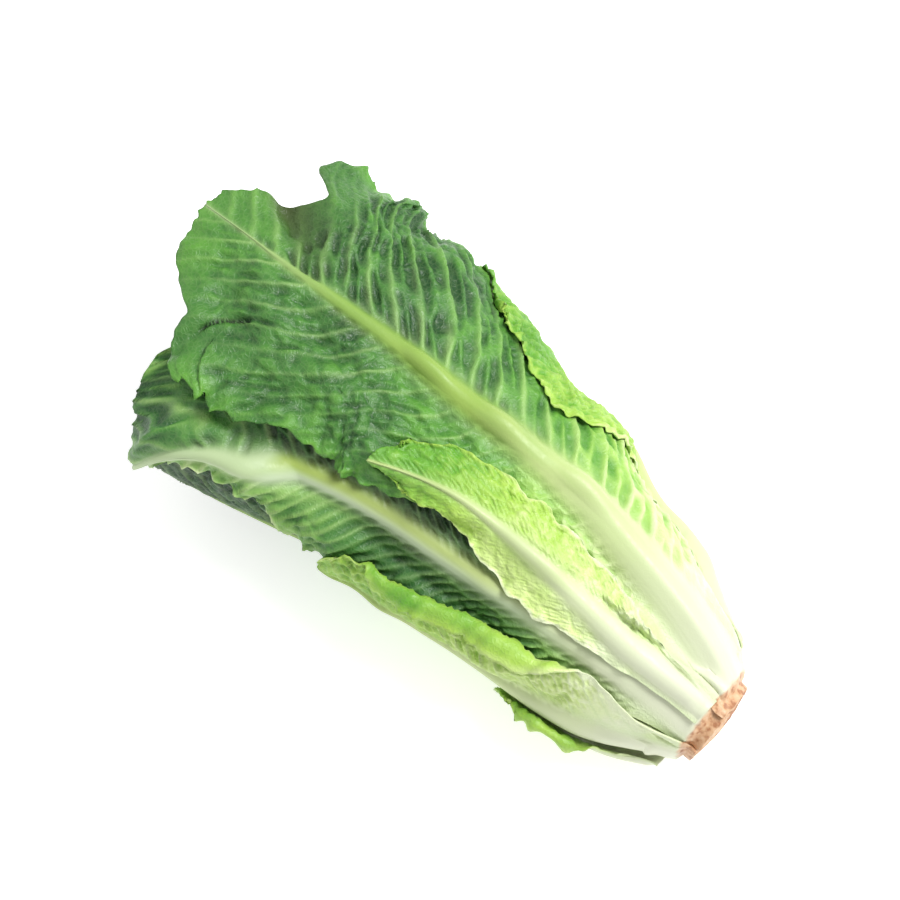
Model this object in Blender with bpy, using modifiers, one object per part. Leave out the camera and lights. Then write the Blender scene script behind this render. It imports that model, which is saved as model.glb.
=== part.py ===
"""Romaine lettuce head lying on its side, cut foot towards +X and leaf tips towards -X.

The head is laid out round its own axis. A point is given by its distance from the cut, its angle
round the axis (0 at +Y, 90 at the top, 180 at -Y) and its distance from the axis. Leaves are laid
on one by one from the heart outwards, and each rests on the ones below it with an air gap.
Lengths in the tables are millimetres, and angles degrees.
"""
import math

import bmesh
import bpy
import numpy as np
from mathutils import Vector

MM = 0.001

# Driving dimensions
HEAD_TILT = 6.0  # the leafy end is thicker than the foot, so the axis climbs towards the tips
CUT_TILT = 5.7  # the knife went through the foot at a slight angle
AXIS_HEIGHT = 27.0  # of the axis above the surface, at the cut
BLADE = 0.8  # thickness of a leaf blade
GAP_FOOT, GAP_LEAFY = 0.5, 1.3  # air between a leaf and what it lies on
REST_DEPTH = 0.5  # how far the lowest leaf is pressed flat by the head's weight

# The head's girth: half-widths to +Y and -Y and half-depth, by distance from the cut
GIRTH_AT = (0, 14, 35, 60, 90, 125, 160, 190, 215, 240, 262, 300)
GIRTH_PLUS = (21.5, 29, 37, 44, 53, 60, 62, 67, 66, 62, 57, 44)
GIRTH_MINUS = (21.5, 29, 39, 47, 53, 59, 65, 74, 82, 88, 84, 64)
GIRTH_DEPTH = (21, 27, 34, 38, 42, 45, 46, 46, 45, 43, 38, 28)

# The stem's outline: distance from the cut, radius
STEM_PROFILE = ((-5, 15.8), (0, 16.0), (6, 15.8), (16, 14.0), (28, 11.0), (42, 7.5), (54, 4.5), (62, 2.5))
STEM_SIDES = 28

# The map of how far out the laid leaves reach
MAP_START, MAP_STEP, MAP_ROWS, MAP_COLUMNS = -8.0, 2.0, 160, 180

RIB_SHARE = 1 / 3  # of a leaf's columns are on its midrib
ROLL_TURN = math.radians(168)  # a rolled margin lies back on its own blade

# Green runs from the dark outer tips to the pale heart
DARK_GREEN = (0.045, 0.17, 0.035, 1)
MID_GREEN = (0.10, 0.30, 0.055, 1)
LIGHT_GREEN = (0.25, 0.46, 0.10, 1)
HEART_GREEN = (0.48, 0.60, 0.20, 1)
STEM_CREAM = (0.80, 0.72, 0.52, 1)

# Each leaf, from the heart outwards.
#   grid: cells across the blade and along it
#   colour: of the blade
#   spine: (distance from the cut, angle) along the midrib
#   plus, minus: blade width on the side of rising and of falling angle, at shares of the length
#   level: share of the head's girth at which the blade lies, at shares of the length
#   rib: midrib depth at the root and at the tip, and its half-width there
#   curl: the share of the head's girth round which the blade's width is measured, if not all of it
#   round: how far the margins' ends stand back from the tip, as a share of the length
#   wave: height of the margin's waves, how many there are, and where they start
#   lobes: depth of the margin's lobes, how many there are, and where they start
#   cut: the knife went through its root
#   pressed: it lies on the surface, at most this far above it where it would reach below
#   crease: a valley from one (distance, angle) to another, its depth and its width
#   roll: on which side the margin rolls outward, radius, blade rolled up, from and to share of length
#   columns: places of the grid's columns, from -1 to 1, where they aren't evenly spaced
EVEN = (0, 0.12, 0.3, 0.5, 0.7, 0.85, 1)


def heart(number, angle, level, root, tip, width):
    """One inner leaf, cupped round the heart."""
    shares = (0.30, 0.36, 0.55, 0.85, 1.0, 0.95, 0.55)
    side = tuple((v, width * s) for v, s in zip(EVEN, shares))
    return {
        "name": f"heart_leaf_{number}", "grid": (10, 12), "colour": HEART_GREEN, "curl": level,
        "spine": ((root, angle), (root + (tip - root) * 0.4, angle + 3), (tip, angle - 5)),
        "plus": side, "minus": side, "level": ((0, level), (1, level)),
        "rib": (3.2, 0.6, 5.5, 1.5), "round": 0.16,
        "wave": (2.0 + 0.3 * number, 4.3, 0.37 * number), "lobes": (0.05, 5, 0.21 * number),
    }


LEAVES = [
    heart(1, 95, 0.20, 44, 205, 26),
    heart(2, 232, 0.27, 38, 212, 32),
    heart(3, 10, 0.34, 32, 220, 38),
    heart(4, 147, 0.41, 27, 226, 42),
    heart(5, 285, 0.48, 22, 232, 46),
    heart(6, 62, 0.56, 18, 240, 50),
    heart(7, 200, 0.64, 14, 236, 52),
    {
        "name": "back_leaf", "grid": (12, 18), "colour": MID_GREEN,
        "spine": ((14, 22), (50, 22), (110, 24), (180, 27), (248, 30)),
        "plus": ((0, 9), (0.15, 14), (0.35, 30), (0.6, 46), (0.85, 44), (1, 26)),
        "minus": ((0, 9), (0.15, 14), (0.35, 30), (0.6, 44), (0.85, 42), (1, 24)),
        "level": ((0, 0.82), (0.5, 0.80), (1, 0.80)),
        "rib": (3.5, 0.9, 7.0, 1.8), "round": 0.12, "wave": (3.0, 5.2, 0.1), "lobes": (0.07, 6, 0.3),
    },
    {
        "name": "lower_leaf", "grid": (12, 18), "colour": DARK_GREEN,
        "spine": ((16, 184), (60, 186), (130, 189), (190, 190), (247, 190)),
        "plus": ((0, 8), (0.15, 12), (0.35, 24), (0.6, 34), (0.85, 30), (1, 14)),
        "minus": ((0, 8), (0.15, 12), (0.35, 22), (0.6, 32), (0.85, 30), (1, 16)),
        "level": ((0, 0.86), (0.5, 0.90), (0.75, 0.97), (1, 1.0)),
        "rib": (3.0, 0.9, 7.0, 1.6), "round": 0.10, "wave": (3.2, 5.6, 0.8), "lobes": (0.08, 7, 0.5),
    },
    {
        "name": "side_leaf", "grid": (12, 22), "colour": MID_GREEN, "cut": True,
        "spine": ((-4, 116), (20, 116), (40, 123), (60, 130), (90, 136), (120, 142), (150, 146),
                  (180, 151), (205, 156), (220, 160), (229, 165), (235, 171), (240, 178)),
        "plus": ((0, 9), (0.12, 12), (0.3, 19), (0.5, 26), (0.66, 30), (0.76, 27), (0.84, 13),
                 (0.92, 8), (1, 3)),
        "minus": ((0, 7.5), (0.12, 12), (0.3, 22), (0.5, 32), (0.7, 40), (0.85, 46), (0.95, 40),
                  (1, 30)),
        "level": ((0, 1.0), (0.12, 0.94), (0.3, 0.86), (0.7, 0.86), (0.88, 0.93), (1, 1.0)),
        "rib": (5.5, 1.0, 9.0, 1.6), "round": 0.04, "wave": (3.0, 4.6, 0.6), "lobes": (0.06, 6, 0.1),
    },
    {
        "name": "under_leaf_right", "grid": (12, 18), "colour": MID_GREEN, "cut": True,
        "spine": ((-4, 298), (60, 298), (140, 298), (228, 296)),
        "plus": ((0, 9), (0.15, 15), (0.35, 30), (0.6, 46), (0.85, 44), (1, 26)),
        "minus": ((0, 9), (0.15, 15), (0.35, 28), (0.6, 40), (0.85, 38), (1, 24)),
        "level": ((0, 1.0), (0.15, 0.95), (0.35, 0.92), (1, 0.92)),
        "rib": (5.0, 1.0, 8.5, 1.8), "round": 0.13, "wave": (2.4, 4.7, 0.4), "lobes": (0.06, 6, 0.7),
    },
    {
        "name": "under_leaf_left", "grid": (12, 18), "colour": MID_GREEN, "cut": True, "pressed": 0.3,
        "spine": ((-4, 240), (60, 240), (140, 241), (238, 244)),
        "plus": ((0, 9), (0.15, 15), (0.35, 28), (0.6, 40), (0.85, 40), (1, 26)),
        "minus": ((0, 9), (0.15, 15), (0.35, 28), (0.6, 42), (0.85, 42), (1, 26)),
        "level": ((0, 1.0), (0.15, 0.96), (0.35, 0.95), (1, 0.92)),
        "rib": (5.0, 1.0, 8.5, 1.8), "round": 0.13, "wave": (2.4, 5.3, 0.2), "lobes": (0.06, 6, 0.2),
    },
    {
        "name": "front_leaf", "grid": (14, 24), "colour": DARK_GREEN, "cut": True,
        "spine": ((-4, 67), (25, 65), (55, 63), (87, 63), (125, 68), (175, 76), (200, 78.5),
                  (228, 82), (252, 85), (275, 87), (294, 90)),
        "plus": ((0, 9), (0.1, 14), (0.25, 25), (0.45, 38), (0.56, 50), (0.63, 57), (0.69, 60),
                 (0.735, 54), (0.77, 62), (0.81, 58), (0.88, 67), (0.95, 60), (1, 44)),
        "minus": ((0, 9), (0.1, 16), (0.25, 28), (0.45, 44), (0.6, 54), (0.75, 62), (0.88, 60),
                  (0.95, 57), (1, 50)),
        "level": ((0, 1.0), (0.1, 0.98), (0.3, 0.94), (0.8, 0.95), (1, 1.05)),
        "rib": (5.5, 1.1, 10.0, 1.6), "round": 0.09, "wave": (3.2, 6.2, 0.0), "lobes": (0.02, 7, 0.0),
        "crease": ((238, 78), (270, 52), 9.0, 7.0),
    },
    {
        "name": "wrap_leaf", "grid": (12, 18), "colour": LIGHT_GREEN, "cut": True,
        "spine": ((-4, 354), (60, 352), (130, 352), (204, 356)),
        "plus": ((0, 9), (0.15, 14), (0.35, 30), (0.5, 42), (0.64, 46), (0.8, 32), (0.9, 24), (1, 14)),
        "minus": ((0, 9), (0.15, 13), (0.35, 21), (0.6, 28), (0.85, 30), (1, 14)),
        "level": ((0, 1.0), (0.12, 0.98), (0.3, 0.95), (1, 0.97)),
        "rib": (5.0, 0.9, 8.5, 1.6), "round": 0.10, "wave": (2.0, 6.5, 0.5), "lobes": (0.07, 8, 0.3),
    },
    {
        "name": "fold_leaf", "grid": (14, 18), "colour": LIGHT_GREEN, "cut": True,
        "spine": ((-4, 178), (40, 180), (90, 184), (130, 186), (166, 186)),
        "plus": ((0, 9), (0.15, 14), (0.35, 24), (0.6, 30), (0.85, 25), (1, 12)),
        "minus": ((0, 9), (0.15, 16), (0.3, 30), (0.45, 39), (0.6, 41), (0.75, 38), (0.9, 24), (1, 10)),
        "level": ((0, 1.0), (0.15, 0.98), (0.5, 0.95), (1, 0.97)),
        "rib": (4.5, 0.9, 8.5, 1.5), "round": 0.10, "wave": (1.2, 6.0, 0.2), "lobes": (0.05, 8, 0.6),
        "roll": ("minus", 2.6, 16.0, 0.30, 0.90),
        "columns": (-1, -0.86, -0.72, -0.62, -0.54, -0.46, -0.24, -0.12, 0, 0.12, 0.24, 0.42, 0.6,
                    0.8, 1),
    },
    {
        "name": "base_leaf", "grid": (8, 10), "colour": LIGHT_GREEN,
        "spine": ((5, 200), (35, 198), (74, 195)),
        "plus": ((0, 8), (0.3, 11), (0.6, 12), (0.85, 10), (1, 6)),
        "minus": ((0, 8), (0.3, 14), (0.6, 17), (0.85, 15), (1, 8)),
        "level": ((0, 1.0), (1, 1.0)),
        "rib": (2.4, 0.6, 7.0, 1.5), "round": 0.12, "wave": (1.2, 4.0, 0.4), "lobes": (0.08, 6, 0.1),
    },
    {
        "name": "short_leaf", "grid": (10, 18), "colour": LIGHT_GREEN,
        "spine": ((6, 104), (20, 105), (48, 109), (75, 109), (110, 110), (135, 113), (158, 122),
                  (175, 130)),
        "plus": ((0, 6), (0.15, 7.5), (0.3, 11), (0.48, 18), (0.62, 17.5), (0.75, 13), (0.85, 11),
                 (0.95, 8), (1, 4)),
        "minus": ((0, 5.5), (0.15, 7.5), (0.28, 13), (0.37, 19), (0.5, 20.5), (0.7, 21), (0.8, 20),
                  (0.9, 17), (1, 9)),
        "level": ((0, 1.0), (0.3, 0.98), (1, 0.98)),
        "rib": (3.0, 0.6, 6.0, 1.2), "round": 0.05, "wave": (1.3, 5.0, 0.7), "lobes": (0.05, 9, 0.2),
    },
]


def curve(x, knots):
    """A smooth curve through (x, value) pairs, level beyond its ends."""
    at, value = (np.array(column, float) for column in zip(*knots))
    slope = np.gradient(value, at)
    x = np.clip(x, at[0], at[-1])
    i = np.clip(np.searchsorted(at, x, side="right") - 1, 0, len(at) - 2)
    step = at[i + 1] - at[i]
    t = (x - at[i]) / step
    rise = t * t * (3 - 2 * t)
    bend = step * (slope[i] * t * (1 - t) ** 2 - slope[i + 1] * t * t * (1 - t))
    return value[i] * (1 - rise) + value[i + 1] * rise + bend


def girth(along, values):
    return curve(along, tuple(zip(GIRTH_AT, values)))


def mean_radius(along):
    width = 0.5 * (girth(along, GIRTH_PLUS) + girth(along, GIRTH_MINUS))
    return np.sqrt(width * girth(along, GIRTH_DEPTH))


def surface_radius(along, angle):
    """Distance from the axis to the surface that the head lies on."""
    tilt = math.radians(HEAD_TILT)
    below = (AXIS_HEIGHT + along * math.sin(tilt)) / math.cos(tilt)
    return below / np.maximum(-np.sin(angle), 0.05)


def shell_radius(along, angle):
    """The head's outer form: an oval section, flattened where it lies on the surface."""
    c, s = np.cos(angle), np.sin(angle)
    width = np.where(c > 0, girth(along, GIRTH_PLUS), girth(along, GIRTH_MINUS))
    oval = ((np.abs(c) / width) ** 2.3 + (np.abs(s) / girth(along, GIRTH_DEPTH)) ** 2.3) ** (-1 / 2.3)
    return (oval**-10 + surface_radius(along, angle) ** -10) ** -0.1


def rows_and_columns(grid):
    """The grid with its neighbours before and after it, down the rows and round the columns."""
    padded = np.pad(grid, ((1, 1), (0, 0)), mode="edge")
    return (padded[:-2], padded[2:]), (np.roll(grid, 1, 1), np.roll(grid, -1, 1))


def widened(grid, steps):
    for _ in range(steps):
        for axis in (0, 1):
            grid = np.maximum.reduce([grid, *rows_and_columns(grid)[axis]])
    return grid


def blurred(grid, steps):
    for _ in range(steps):
        for axis in (0, 1):
            before, after = rows_and_columns(grid)[axis]
            grid = 0.25 * before + 0.5 * grid + 0.25 * after
    return grid


class Cover:
    """How far from the axis the stem and the laid leaves reach, on a grid of distance and angle."""

    def __init__(self):
        along = MAP_START + MAP_STEP * np.arange(MAP_ROWS)
        angle = np.arange(MAP_COLUMNS) * 2 * math.pi / MAP_COLUMNS
        self.along, self.angle = np.meshgrid(along, angle, indexing="ij")
        stem = curve(self.along, STEM_PROFILE)
        lean = -self.along * math.tan(math.radians(CUT_TILT)) * np.cos(self.angle)
        self.reach = np.where(self.along <= STEM_PROFILE[-1][0], stem + lean, 2.0)
        self.reach = np.maximum(self.reach, 2.0)
        self.smooth = self.reach

    def settle(self):
        """Rounds the reach off outwards, so that a leaf can bend over what lies below it."""
        tight = blurred(widened(self.reach, 1), 1)
        loose = blurred(widened(self.reach, 3), 4)
        leafy = np.clip((self.along - 6) / 34, 0, 1)
        self.smooth = np.maximum(tight * (1 - leafy) + loose * leafy, self.reach)

    def cell(self, along, angle):
        row = np.clip((along - MAP_START) / MAP_STEP, 0, MAP_ROWS - 1.001)
        column = np.mod(angle * MAP_COLUMNS / (2 * math.pi), MAP_COLUMNS)
        return row, column

    def under(self, along, angle):
        """The rounded reach at a point, between the grid's points."""
        row, column = self.cell(along, angle)
        i, j = row.astype(int), column.astype(int) % MAP_COLUMNS
        next_j = (j + 1) % MAP_COLUMNS
        p, q = row - i, column - np.floor(column)
        low = self.smooth[i, j] * (1 - q) + self.smooth[i, next_j] * q
        high = self.smooth[i + 1, j] * (1 - q) + self.smooth[i + 1, next_j] * q
        return low * (1 - p) + high * p

    def lay(self, along, angle, outside):
        """Raises the reach to a leaf's outer face."""
        row, column = self.cell(along, angle)
        i, j = np.rint(row).astype(int), np.rint(column).astype(int) % MAP_COLUMNS
        for di in (0, 1):
            for dj in (0, 1):
                at = (np.minimum(i + di, MAP_ROWS - 1), (j + dj) % MAP_COLUMNS)
                np.maximum.at(self.reach, at, outside)
        self.settle()


def rib_shape(leaf, across, share):
    """Depth of the midrib at a distance from the spine, over the blade's own thickness."""
    deep, shallow, _, _ = leaf["rib"]
    depth = shallow + (deep - shallow) * (1 - share) ** 1.3
    rise = 1 if "cut" in leaf else np.clip(share / 0.05, 0.35, 1)
    ratio = np.clip(np.abs(across) / rib_half_width(leaf, share), 0, 1)
    return depth * rise * (1 - ratio**2) ** 1.5


def rib_half_width(leaf, share):
    _, _, wide, narrow = leaf["rib"]
    return narrow + (wide - narrow) * (1 - share) ** 1.6


def roll_margin(leaf, side, across, half, share):
    """Turns the last of the blade outward and back, and returns the new place and the lift."""
    name, radius, length, start, end = leaf["roll"]
    sign = 1 if name == "plus" else -1
    fade = np.clip((share - start) / 0.12, 0, 1) * np.clip((end - share) / 0.12, 0, 1)
    over = np.clip(np.abs(across) - (half - length * fade), 0, None) * (side == sign)
    turn = np.minimum(over / radius, ROLL_TURN)
    flap = over - turn * radius
    moved = np.abs(across) - over + radius * np.sin(turn) + flap * np.cos(turn)
    lift = radius * (1 - np.cos(turn)) + flap * np.sin(turn)
    return np.where(side == sign, sign * moved, across), lift


def crease_depth(leaf, place, angle):
    """A valley in the blade along a line that starts at the midrib and opens at the margin."""
    (near, near_angle), (far, far_angle), depth, width = leaf["crease"]
    start = np.array([near, math.radians(near_angle) * mean_radius(near)])
    line = np.array([far, math.radians(far_angle) * mean_radius(far)]) - start
    x, y = place - start[0], angle * mean_radius(place) - start[1]
    along = (x * line[0] + y * line[1]) / (line @ line)
    off = (x * line[1] - y * line[0]) / np.sqrt(line @ line)
    return depth * np.clip(along, 0, 1.2) * np.exp(-((off / width) ** 2))


def leaf_surface(leaf, cover, columns, rows):
    """The inner face of a leaf over a grid: distance from the cut, angle, radius and thickness.

    columns runs from -1 to 1 across the leaf and rows from 0 at the root to 1 at the tip."""
    c, v = np.meshgrid(columns, rows, indexing="ij")
    spine = leaf["spine"]
    root, tip = spine[0][0], spine[-1][0]
    along = root + (tip - root) * v
    middle = math.radians(spine[len(spine) // 2][1])
    curl = leaf.get("curl", 1.0)
    reference = mean_radius(along) * curl
    spread = (np.radians(curve(along, spine)) - middle) * reference
    lean = np.arctan(np.gradient(spread[0], along[0]))[None, :] * np.clip(v / 0.15, 0, 1)

    side = np.where(c < 0, -1, 1)
    depth, count, start = leaf["lobes"]
    start = start + np.where(c < 0, 0.37, 0.0)
    lobe = 1 + depth * np.sin(2 * math.pi * (count * v + start)) * np.clip(v / 0.3, 0, 1)
    half = np.where(c < 0, curve(v, leaf["minus"]), curve(v, leaf["plus"])) * lobe
    rib_half = np.minimum(rib_half_width(leaf, v), 0.7 * half)
    rib_share = RIB_SHARE if "columns" not in leaf else 0.24
    inner = np.abs(c) / rib_share
    outer = (np.abs(c) - rib_share) / (1 - rib_share)
    across = side * np.where(inner < 1, inner * rib_half, rib_half + outer * (half - rib_half))
    edge = np.clip(np.abs(across) / half, 0, 1)
    thick = BLADE + rib_shape(leaf, across, v)
    lift = np.zeros_like(v)
    if "roll" in leaf:
        across, lift = roll_margin(leaf, side, across, half, v)

    back = leaf["round"] * (tip - root) * edge**2 * v**3
    place = along + across * -np.sin(lean) - back * np.cos(lean)
    turned = spread + across * np.cos(lean) - back * np.sin(lean)
    angle = middle + turned / (mean_radius(place) * curl)
    height, count, start = leaf["wave"]
    wave = height * edge**2.5 * np.sin(2 * math.pi * (count * v + start + 0.13 * side))
    wave = wave * np.clip(v / 0.25, 0, 1)
    wanted = curve(v, leaf["level"]) * shell_radius(place, angle) - thick + wave
    if "crease" in leaf:
        wanted = wanted - crease_depth(leaf, place, angle)
    air = GAP_FOOT + (GAP_LEAFY - GAP_FOOT) * np.clip(place / 45, 0, 1)
    resting = cover.under(place, angle) + air
    radius = 0.5 * (wanted + resting + np.sqrt((wanted - resting) ** 2 + 0.4))
    if "pressed" in leaf:
        radius = np.minimum(radius, surface_radius(place, angle) - thick - leaf["pressed"])
    return place, angle, radius + lift, thick


def point(along, angle, radius):
    """The place in the head's own frame, in metres."""
    return np.stack([-along, radius * np.cos(angle), radius * np.sin(angle)], axis=-1) * MM


def make_material(name, colour, roughness):
    material = bpy.data.materials.new(name)
    material.use_nodes = True
    shader = material.node_tree.nodes["Principled BSDF"]
    shader.inputs["Base Color"].default_value = colour
    shader.inputs["Roughness"].default_value = roughness
    shader.inputs["Metallic"].default_value = 0.0
    return material


def add_object(name, mesh, material, collection, parent):
    mesh.materials.append(material)
    made = bpy.data.objects.new(name, mesh)
    made.parent = parent
    collection.objects.link(made)
    return made


def leaf_mesh(leaf, cover):
    """An open sheet: a plane grid bent to the leaf's inner face, cut in triangles."""
    across, along = leaf["grid"]
    columns = leaf.get("columns", np.linspace(-1, 1, across + 1))
    place, angle, radius, thick = leaf_surface(leaf, cover, columns, np.linspace(0, 1, along + 1))
    sheet = point(place, angle, radius)
    mesh = bpy.data.meshes.new(leaf["name"])
    work = bmesh.new()
    deform = work.verts.layers.deform.verify()
    bmesh.ops.create_grid(work, x_segments=across, y_segments=along, size=0.5)
    order = sorted(work.verts, key=lambda vert: (round(vert.co.y, 5), round(vert.co.x, 5)))
    for k, vert in enumerate(order):
        i, j = k % (across + 1), k // (across + 1)
        vert.co = Vector(sheet[i, j])
        vert[deform][0] = thick[i, j] / thick.max()
    bmesh.ops.triangulate(work, faces=work.faces[:])
    bmesh.ops.recalc_face_normals(work, faces=work.faces[:])
    centre_of_blade = Vector(sheet[across // 2, along // 2])
    middle = min(work.faces, key=lambda face: (face.calc_center_median() - centre_of_blade).length)
    outward = middle.calc_center_median() * Vector((0, 1, 1))
    if middle.normal.dot(outward) < 0:
        bmesh.ops.reverse_faces(work, faces=work.faces[:])
    work.to_mesh(mesh)
    work.free()
    mesh.shade_smooth()
    return mesh, float(thick.max()) * MM


def add_leaf(leaf, cover, collection, parent, knife):
    mesh, thickest = leaf_mesh(leaf, cover)
    material = make_material(leaf["name"] + "_skin", leaf["colour"], 0.45)
    made = add_object(leaf["name"], mesh, material, collection, parent)
    made.vertex_groups.new(name="thickness")
    solid = made.modifiers.new("Thickness", "SOLIDIFY")
    solid.thickness = thickest
    solid.offset = 1.0
    solid.vertex_group = "thickness"
    solid.use_even_offset = False
    if "cut" in leaf:
        cut_off(made, knife)
    fine = leaf_surface(leaf, cover, np.linspace(-1, 1, 121), np.linspace(0, 1, 241))
    cover.lay(fine[0], fine[1], fine[2] + fine[3])
    return made


def add_stem(collection, parent, knife):
    """The stem is turned: its outline from the cut to the top, screwed round its axis."""
    outline = [(0.0, 0.0)] + [(r, a) for a, r in STEM_PROFILE] + [(0.0, STEM_PROFILE[-1][0] + 1.5)]
    edges = [(i, i + 1) for i in range(len(outline) - 1)]
    mesh = bpy.data.meshes.new("stem_core")
    mesh.from_pydata([(r * MM, 0, a * MM) for r, a in reversed(outline)], edges, [])
    made = add_object("stem_core", mesh, make_material("stem_flesh", STEM_CREAM, 0.6), collection, parent)
    made.rotation_euler = (0, math.radians(-90), math.radians(CUT_TILT))
    screw = made.modifiers.new("Turned", "SCREW")
    screw.steps = screw.render_steps = STEM_SIDES
    screw.use_merge_vertices = True
    screw.merge_threshold = 0.0001
    screw.use_smooth_shade = True
    cut_off(made, knife, "EXACT")
    return made


def add_knife(cutters, parent):
    """A block whose face is the plane of the cut across the foot."""
    bpy.ops.mesh.primitive_cube_add(size=1)
    knife = bpy.context.object
    for owner in list(knife.users_collection):
        owner.objects.unlink(knife)
    cutters.objects.link(knife)
    knife.name = "knife_cut"
    knife.parent = parent
    knife.scale = (0.05, 0.12, 0.12)
    knife.rotation_euler = (0, 0, math.radians(CUT_TILT))
    knife.location = (0.025 * math.cos(knife.rotation_euler.z), 0.025 * math.sin(knife.rotation_euler.z), 0)
    knife.hide_render = True
    knife.display_type = "WIRE"
    return knife


def cut_off(made, knife, solver="MANIFOLD"):
    """Cuts the foot level. The exact solver loses the front leaf, whose blade is thin and creased."""
    cut = made.modifiers.new("Cut", "BOOLEAN")
    cut.operation = "DIFFERENCE"
    cut.solver = solver
    cut.object = knife


def world_points(made):
    """The object's evaluated mesh and its points in world space."""
    graph = bpy.context.evaluated_depsgraph_get()
    mesh = bpy.data.meshes.new_from_object(made.evaluated_get(graph), depsgraph=graph)
    matrix = made.matrix_world
    return mesh, [matrix @ vert.co for vert in mesh.vertices]


def press_flat(under_leaf):
    """Flattens the lowest of a leaf to one level, as the head's weight does, and returns that level."""
    mesh, points = world_points(under_leaf)
    level = min(p.z for p in points) + REST_DEPTH * MM
    back = under_leaf.matrix_world.inverted()
    for vert, place in zip(mesh.vertices, points):
        if place.z < level:
            vert.co = back @ Vector((place.x, place.y, level))
    under_leaf.modifiers.clear()
    under_leaf.data = mesh
    return level


def centre(axis, made, level):
    """Moves the head so that it rests on z = 0 with the middle of its box on the Z axis."""
    points = [p for one in made for p in world_points(one)[1]]
    for k in (0, 1):
        span = [p[k] for p in points]
        axis.location[k] -= 0.5 * (min(span) + max(span))
    axis.location.z -= level


def main():
    for old in list(bpy.data.objects):
        bpy.data.objects.remove(old, do_unlink=True)
    collection = bpy.data.collections.new("romaine_lettuce_head")
    bpy.context.scene.collection.children.link(collection)
    axis = bpy.data.objects.new("head_axis", None)
    axis.location = (0, 0, AXIS_HEIGHT * MM)
    axis.rotation_euler = (0, math.radians(HEAD_TILT), 0)
    collection.objects.link(axis)

    cutters = bpy.data.collections.new("cutters")
    bpy.context.scene.collection.children.link(cutters)
    knife = add_knife(cutters, axis)

    made = {"stem_core": add_stem(collection, axis, knife)}
    cover = Cover()
    cover.settle()
    for leaf in LEAVES:
        made[leaf["name"]] = add_leaf(leaf, cover, collection, axis, knife)
    bpy.context.view_layer.update()
    level = press_flat(made["under_leaf_left"])
    centre(axis, made.values(), level)


main()
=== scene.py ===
"""Looks of the romaine lettuce head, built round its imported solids.

Each leaf's solid gives way to a finer blade of nearly the same form. The leaves are laid one by one
from the heart outwards, as in the solids, and each gets its veins, puckers, blisters and ruffled margin
before the next is laid. Lengths in the tables are millimetres, and angles degrees.
"""
import math

import bpy
import numpy as np
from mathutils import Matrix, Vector


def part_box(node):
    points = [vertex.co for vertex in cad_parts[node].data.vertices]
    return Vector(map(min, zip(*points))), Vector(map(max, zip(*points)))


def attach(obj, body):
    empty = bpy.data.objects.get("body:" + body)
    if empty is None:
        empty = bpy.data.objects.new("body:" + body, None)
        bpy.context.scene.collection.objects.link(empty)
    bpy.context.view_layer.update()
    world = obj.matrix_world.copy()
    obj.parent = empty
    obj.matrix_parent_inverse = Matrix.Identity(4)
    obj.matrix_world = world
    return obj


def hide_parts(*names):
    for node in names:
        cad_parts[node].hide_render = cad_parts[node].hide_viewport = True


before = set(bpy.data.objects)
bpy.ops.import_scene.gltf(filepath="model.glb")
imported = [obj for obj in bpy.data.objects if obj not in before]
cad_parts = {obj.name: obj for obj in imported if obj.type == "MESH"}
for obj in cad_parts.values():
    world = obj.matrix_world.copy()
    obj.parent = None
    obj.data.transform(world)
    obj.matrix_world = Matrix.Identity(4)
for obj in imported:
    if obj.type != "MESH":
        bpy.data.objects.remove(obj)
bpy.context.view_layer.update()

MM = 0.001

# The head's own dimensions, the same as in its solids
HEAD_TILT = math.radians(6)  # the axis climbs towards the tips
CUT_TILT = math.radians(5.7)  # the knife went through the foot at a slight angle
AXIS_HEIGHT = 27  # of the axis above the surface, at the cut
BLADE = 0.8  # blade thickness
GAP_FOOT, GAP_LEAFY = 0.5, 1.3  # air between a leaf and what it lies on
FOOT_END = 45  # distance from the cut where the leaves leave the foot

# The head's girth: half-widths to +Y and -Y and half-depth, by distance from the cut
GIRTH_AT = (0, 14, 35, 60, 90, 125, 160, 190, 215, 240, 262, 300)
GIRTH_PLUS = (21.5, 29, 37, 44, 53, 60, 62, 67, 66, 62, 57, 44)
GIRTH_MINUS = (21.5, 29, 39, 47, 53, 59, 65, 74, 82, 88, 84, 64)
GIRTH_DEPTH = (21, 27, 34, 38, 42, 45, 46, 46, 45, 43, 38, 28)
OVAL = 2.3  # exponent of the head's oval section

# The stem's outline: distance from the cut, radius
STEM_PROFILE = ((-5, 15.8), (0, 16), (6, 15.8), (16, 14), (28, 11), (42, 7.5), (54, 4.5), (62, 2.5))
STEM_SIDES, FINE_STEM_SIDES = 28, 144  # of the solid and of the finer one
STEM_POINT = 1.5  # how far its end stands beyond that outline

# The map of how far out the laid leaves reach: rows a step apart along the axis, columns round it
MAP_START, MAP_STEP, MAP_ROWS, MAP_COLUMNS = -8, 1, 320, 360

RIB_SHARE = 0.16  # of a leaf's columns are on its midrib
THIN_BLADE = 0.5  # thickness at the margin
ROLL_TURN = math.radians(168)  # a rolled margin lies back on its own blade
VALLEY_DARK = 9  # depth of a valley that is fully shaded
CUT_BULGE, CUT_RADIUS = 3.5, 22  # how far the cut stands out in its middle, and where that ends
HUG_AIR, LEAST_AIR, SURFACE_AIR = 0.25, 0.15, 0.2  # under a hugging margin, any leaf, and the head
SLICE_DROP = 3.5  # how deep the knife has shaved the foot
SLICE_TOP, SLICE_LOW = 3.4, 0.3  # how far its brown reaches up the foot, on top and below
EASE_STEPS = 60  # how gently a leaf bends over what it lies on
RIB_LENGTH = 300  # distance from the cut over which the midrib runs through its colours
RANDOM_VALUES = 4096  # that a noise draws on

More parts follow.
